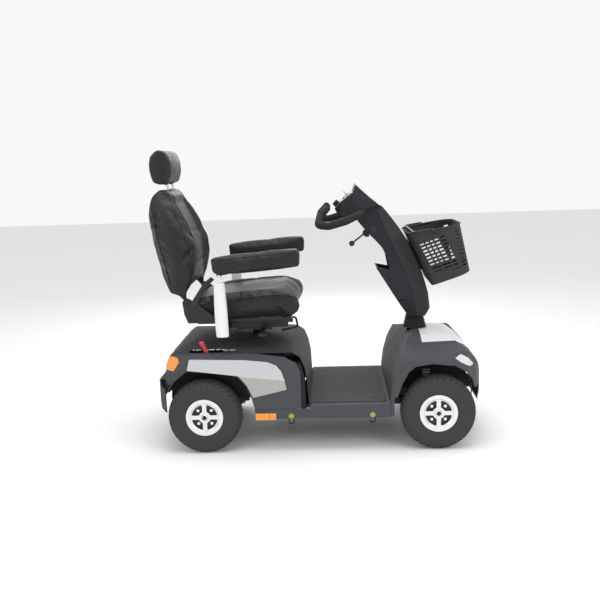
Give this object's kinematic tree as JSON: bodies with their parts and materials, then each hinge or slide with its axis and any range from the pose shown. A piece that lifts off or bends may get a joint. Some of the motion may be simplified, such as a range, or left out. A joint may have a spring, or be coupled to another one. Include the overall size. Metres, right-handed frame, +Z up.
{
  "type": "mobility scooter",
  "caption": "Road mobility scooter with a swivelling padded seat, flip-up arm rests, adjustable tiller with wrap-round handlebar, front basket and suspended rear drive.",
  "frame": {"origin": "on the floor under the middle of the overall box", "axes": "+X towards the front wheels, +Y to the rider's left, +Z up"},
  "size_m": [1.36, 0.6398, 1.2229],
  "materials": {
    "tyre_rubber": "matt black rubber",
    "alloy": "bright machined and lacquered alloy",
    "frame_paint": "satin black powder coat",
    "steel": "zinc-plated steel",
    "motor_cast": "black painted casting",
    "shroud_plastic": "satin dark brown-grey moulding",
    "body_plastic": "slate grey grained moulding",
    "silver_panel": "metallic silver paint",
    "black_plastic": "black textured plastic",
    "amber_lens": "amber moulded lens",
    "clear_lens": "clear lamp lens",
    "mat_rubber": "ribbed dark rubber",
    "bellows_rubber": "soft black rubber",
    "grip_rubber": "foam rubber grip",
    "vinyl": "charcoal coated seat vinyl",
    "battery_case": "grey battery case",
    "silver_post": "silver metallic paint",
    "red_knob": "red knob",
    "chrome": "chrome plate"
  },
  "bodies": {
    "chassis": {"chassis_frame": "frame_paint", "floor_pan": "body_plastic", "floor_mat": "mat_rubber", "rear_shroud": "shroud_plastic", "rear_fenders": "body_plastic", "side_panels": "silver_panel", "rear_bumper": "black_plastic", "tail_lights": "amber_lens", "tie_downs": "frame_paint", "front_cowl": "body_plastic", "front_hood": "silver_panel", "leg_shield": "shroud_plastic", "headlights": "clear_lens", "batteries": "battery_case", "controller": "alloy", "rear_springs": "steel"},
    "rear_axle": {"transaxle": "motor_cast", "drive_motor": "motor_cast"},
    "wheel_front_right": {"tyre_front_right": "tyre_rubber", "rim_front_right": "alloy"},
    "wheel_front_left": {"tyre_front_left": "tyre_rubber", "rim_front_left": "alloy"},
    "wheel_rear_right": {"tyre_rear_right": "tyre_rubber", "rim_rear_right": "alloy"},
    "wheel_rear_left": {"tyre_rear_left": "tyre_rubber", "rim_rear_left": "alloy"},
    "knuckle_right": {"knuckle_right": "frame_paint"},
    "knuckle_left": {"knuckle_left": "frame_paint"},
    "tie_rod": {"tie_rod": "steel"},
    "column": {"steering_column": "steel", "bellows": "bellows_rubber"},
    "tiller": {"tiller_housing": "body_plastic", "tiller_front_cover": "black_plastic", "basket_mount": "black_plastic", "handlebar": "frame_paint", "grips": "grip_rubber", "console_body": "body_plastic", "console_cover": "silver_panel"},
    "tilt_lever": {"tilt_lever": "black_plastic"},
    "throttle_lever": {"throttle_lever": "black_plastic"},
    "charge_flap": {"charge_flap": "black_plastic"},
    "speed_dial": {"speed_dial": "black_plastic"},
    "key": {"key": "chrome"},
    "horn_button": {"horn_button": "black_plastic"},
    "basket": {"basket": "black_plastic"},
    "basket_handle": {"basket_handle": "black_plastic"},
    "seat_swivel": {"seat_post": "steel", "seat_rails": "steel"},
    "seat": {"seat_base": "frame_paint", "seat_cushion": "vinyl"},
    "slide_lever": {"slide_lever": "frame_paint"},
    "swivel_lever": {"swivel_lever": "black_plastic"},
    "back": {"backrest": "vinyl"},
    "headrest": {"headrest": "vinyl"},
    "recline_lever": {"recline_lever": "black_plastic"},
    "arm_right": {"arm_post_right": "silver_post"},
    "arm_left": {"arm_post_left": "silver_post"},
    "pad_right": {"arm_pad_right": "vinyl"},
    "pad_left": {"arm_pad_left": "vinyl"},
    "freewheel_lever": {"freewheel_lever": "red_knob"}
  },
  "joints": [
    {"name": "rear_suspension", "type": "hinge", "parent": "chassis", "child": "rear_axle", "pos_m": [-0.292, 0, 0.185], "axis": [0, 1, 0], "range_deg": [0, 5], "stiffness_Nm_per_rad": 900, "springref_deg": -20.05, "deforming": ["rear_springs"]},
    {"name": "wheel_spin_rear_right", "type": "hinge", "parent": "rear_axle", "child": "wheel_rear_right", "pos_m": [-0.462, -0.276, 0.15], "axis": [0, 1, 0], "continuous": true},
    {"name": "wheel_spin_rear_left", "type": "hinge", "parent": "rear_axle", "child": "wheel_rear_left", "pos_m": [-0.462, 0.276, 0.15], "axis": [0, 1, 0], "continuous": true},
    {"name": "steer", "type": "hinge", "parent": "chassis", "child": "column", "pos_m": [0.416, 0, 0.3], "axis": [0, 0, 1], "range_deg": [-26, 26]},
    {"name": "knuckle_steer_right", "type": "hinge", "parent": "chassis", "child": "knuckle_right", "pos_m": [0.478, -0.215, 0.15], "axis": [0, 0, 1], "range_deg": [-26, 26]},
    {"name": "knuckle_steer_left", "type": "hinge", "parent": "chassis", "child": "knuckle_left", "pos_m": [0.478, 0.215, 0.15], "axis": [0, 0, 1], "range_deg": [-26, 26]},
    {"name": "tie_rod_swing", "type": "hinge", "parent": "column", "child": "tie_rod", "pos_m": [0.346, 0, 0.18], "axis": [0, 0, 1], "range_deg": [-26, 26]},
    {"name": "wheel_spin_front_right", "type": "hinge", "parent": "knuckle_right", "child": "wheel_front_right", "pos_m": [0.478, -0.276, 0.15], "axis": [0, 1, 0], "continuous": true},
    {"name": "wheel_spin_front_left", "type": "hinge", "parent": "knuckle_left", "child": "wheel_front_left", "pos_m": [0.478, 0.276, 0.15], "axis": [0, 1, 0], "continuous": true},
    {"name": "tiller_tilt", "type": "hinge", "parent": "column", "child": "tiller", "pos_m": [0.416, 0, 0.455], "axis": [0, 1, 0], "range_deg": [-5, 25]},
    {"name": "tilt_lever_pull", "type": "hinge", "parent": "tiller", "child": "tilt_lever", "pos_m": [0.206, -0.03, 0.85], "axis": [0, 1, 0], "range_deg": [0, 18], "stiffness_Nm_per_rad": 0.4, "springref_deg": -20.05},
    {"name": "throttle", "type": "hinge", "parent": "tiller", "child": "throttle_lever", "pos_m": [0.144, 0, 0.9333], "axis": [0.2922, 0, -0.9564], "range_deg": [-10, 10], "stiffness_Nm_per_rad": 0.8},
    {"name": "charge_flap_open", "type": "hinge", "parent": "tiller", "child": "charge_flap", "pos_m": [0.242, -0.0656, 0.885], "axis": [-1, 0, 0], "range_deg": [0, 110]},
    {"name": "speed_dial_turn", "type": "hinge", "parent": "tiller", "child": "speed_dial", "pos_m": [0.0965, 0, 0.974], "axis": [-0.7459, 0, 0.666], "range_deg": [-135, 135]},
    {"name": "key_turn", "type": "hinge", "parent": "tiller", "child": "key", "pos_m": [0.138, -0.052, 1.0102], "axis": [-0.6074, 0, 0.7944], "range_deg": [0, 90]},
    {"name": "horn_press", "type": "slide", "parent": "tiller", "child": "horn_button", "axis": [0.6074, 0, -0.7944], "range_m": [0, 0.002], "stiffness_N_per_m": 800, "springref_m": -0.002},
    {"name": "basket_lift", "type": "slide", "parent": "tiller", "child": "basket", "axis": [-0.3976, 0, 0.9176], "range_m": [0, 0.08]},
    {"name": "basket_handle_swing", "type": "hinge", "parent": "basket", "child": "basket_handle", "pos_m": [0.49141, 0, 0.86161], "axis": [0, 1, 0], "range_deg": [0, 100]},
    {"name": "seat_swivel_turn", "type": "hinge", "parent": "chassis", "child": "seat_swivel", "pos_m": [-0.262, 0, 0.4], "axis": [0, 0, 1], "range_deg": [-90, 90]},
    {"name": "seat_slide", "type": "slide", "parent": "seat_swivel", "child": "seat", "axis": [1, 0, 0], "range_m": [-0.06, 0.06]},
    {"name": "slide_lever_lift", "type": "hinge", "parent": "seat", "child": "slide_lever", "pos_m": [-0.166, -0.062, 0.508], "axis": [0, -1, 0], "range_deg": [0, 7], "stiffness_Nm_per_rad": 1, "springref_deg": -17.19},
    {"name": "swivel_lever_lift", "type": "hinge", "parent": "seat_swivel", "child": "swivel_lever", "pos_m": [-0.226, -0.124, 0.47], "axis": [-1, 0, 0], "range_deg": [0, 8], "stiffness_Nm_per_rad": 1.5, "springref_deg": -17.19},
    {"name": "backrest_recline", "type": "hinge", "parent": "seat", "child": "back", "pos_m": [-0.526, 0, 0.614], "axis": [0, 1, 0], "range_deg": [-20, 50]},
    {"name": "recline_lever_pull", "type": "hinge", "parent": "seat", "child": "recline_lever", "pos_m": [-0.496, -0.24, 0.604], "axis": [0, -1, 0], "range_deg": [0, 18], "stiffness_Nm_per_rad": 1, "springref_deg": -17.19},
    {"name": "headrest_height", "type": "slide", "parent": "back", "child": "headrest", "axis": [0, 0, 1], "range_m": [0, 0.06]},
    {"name": "arm_width_right", "type": "slide", "parent": "seat", "child": "arm_right", "axis": [0, -1, 0], "range_m": [0, 0.05]},
    {"name": "arm_width_left", "type": "slide", "parent": "seat", "child": "arm_left", "axis": [0, 1, 0], "range_m": [0, 0.05]},
    {"name": "arm_flip_right", "type": "hinge", "parent": "arm_right", "child": "pad_right", "pos_m": [-0.379, -0.28, 0.721], "axis": [0, -1, 0], "range_deg": [0, 92]},
    {"name": "arm_flip_left", "type": "hinge", "parent": "arm_left", "child": "pad_left", "pos_m": [-0.379, 0.28, 0.721], "axis": [0, -1, 0], "range_deg": [0, 92]},
    {"name": "freewheel", "type": "hinge", "parent": "chassis", "child": "freewheel_lever", "pos_m": [-0.44, -0.247, 0.38], "axis": [0, 1, 0], "range_deg": [0, 28]}
  ],
  "couplings": [
    {"joint": "knuckle_steer_right", "follows": "steer", "ratio": 1},
    {"joint": "knuckle_steer_left", "follows": "steer", "ratio": 1},
    {"joint": "tie_rod_swing", "follows": "steer", "ratio": -1}
  ]
}
